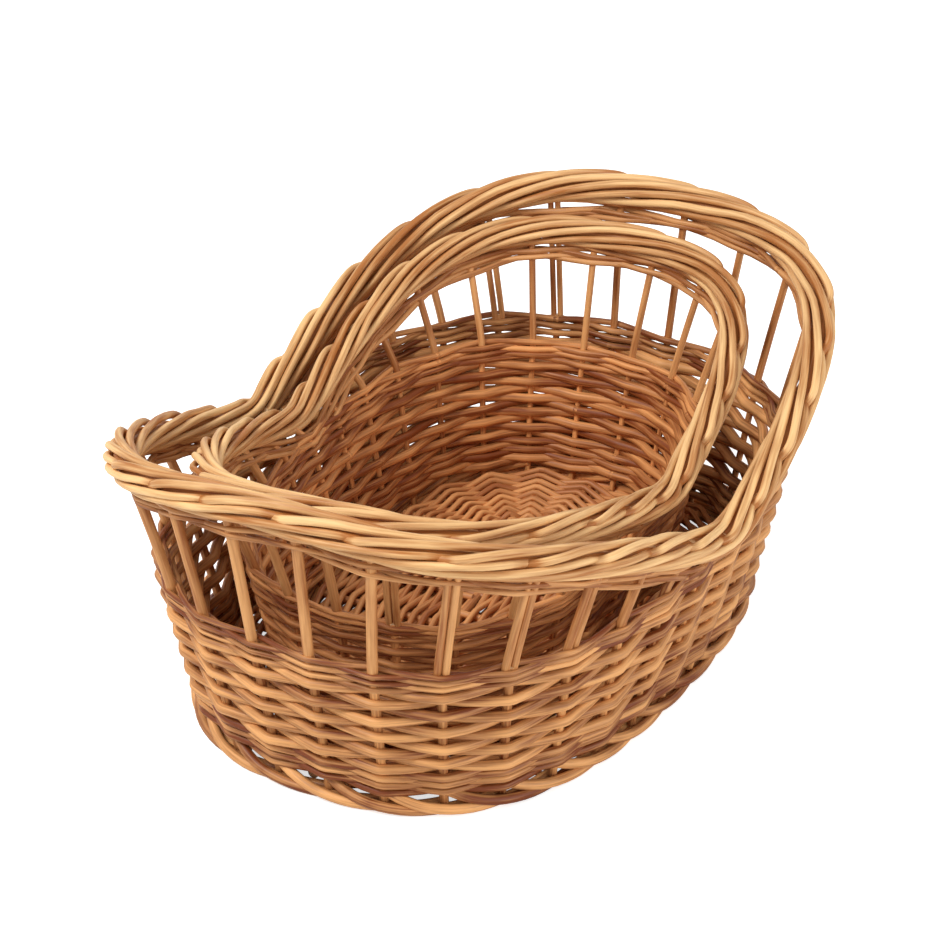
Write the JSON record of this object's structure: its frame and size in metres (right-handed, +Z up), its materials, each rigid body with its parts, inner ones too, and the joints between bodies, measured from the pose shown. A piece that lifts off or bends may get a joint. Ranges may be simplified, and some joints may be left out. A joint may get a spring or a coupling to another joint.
{
  "type": "nested wicker gift baskets",
  "caption": "Two nested oval willow baskets with woven walls, bare uprights and a rolled saddle border that rises into hand-holds at both ends.",
  "frame": {"origin": "on the ground below the middle of the larger basket", "axes": "+X along the larger basket, towards the end that is farther away in the picture; +Z up"},
  "size_m": [0.3518, 0.259, 0.1556],
  "materials": {
    "willow_wall": "satin varnished buff willow",
    "willow_border": "satin varnished buff willow, worn lighter",
    "willow_dark": "satin varnished red-brown willow"
  },
  "bodies": {
    "outer_basket": {"outer_foot_border": "willow_border", "outer_base_sticks": "willow_dark", "outer_base_weave": "willow_dark", "outer_woven_wall": "willow_wall", "outer_rim_band": "willow_wall", "outer_rolled_border": "willow_border", "outer_upright_01": "willow_wall", "outer_upright_02": "willow_wall", "outer_upright_03": "willow_wall", "outer_upright_04": "willow_wall", "outer_upright_05": "willow_wall", "outer_upright_06": "willow_wall", "outer_upright_07": "willow_wall", "outer_upright_08": "willow_wall", "outer_upright_09": "willow_wall", "outer_upright_10": "willow_wall", "outer_upright_11": "willow_wall", "outer_upright_12": "willow_wall", "outer_upright_13": "willow_wall", "outer_upright_14": "willow_wall", "outer_upright_15": "willow_wall", "outer_upright_16": "willow_wall", "outer_upright_17": "willow_wall", "outer_upright_18": "willow_wall", "outer_upright_19": "willow_wall", "outer_upright_20": "willow_wall", "outer_upright_21": "willow_wall", "outer_upright_22": "willow_wall", "outer_upright_23": "willow_wall", "outer_upright_24": "willow_wall"},
    "inner_basket": {"inner_foot_border": "willow_border", "inner_base_sticks": "willow_dark", "inner_base_weave": "willow_dark", "inner_woven_wall": "willow_wall", "inner_rim_band": "willow_wall", "inner_rolled_border": "willow_border", "inner_upright_01": "willow_wall", "inner_upright_02": "willow_wall", "inner_upright_03": "willow_wall", "inner_upright_04": "willow_wall", "inner_upright_05": "willow_wall", "inner_upright_06": "willow_wall", "inner_upright_07": "willow_wall", "inner_upright_08": "willow_wall", "inner_upright_09": "willow_wall", "inner_upright_10": "willow_wall", "inner_upright_11": "willow_wall", "inner_upright_12": "willow_wall", "inner_upright_13": "willow_wall", "inner_upright_14": "willow_wall", "inner_upright_15": "willow_wall", "inner_upright_16": "willow_wall", "inner_upright_17": "willow_wall", "inner_upright_18": "willow_wall", "inner_upright_19": "willow_wall", "inner_upright_20": "willow_wall", "inner_upright_21": "willow_wall", "inner_upright_22": "willow_wall"}
  },
  "joints": [
    {"name": "lift_out", "type": "slide", "parent": "outer_basket", "child": "inner_basket", "axis": [0, 0, 1], "range_m": [0, 0.2]}
  ]
}
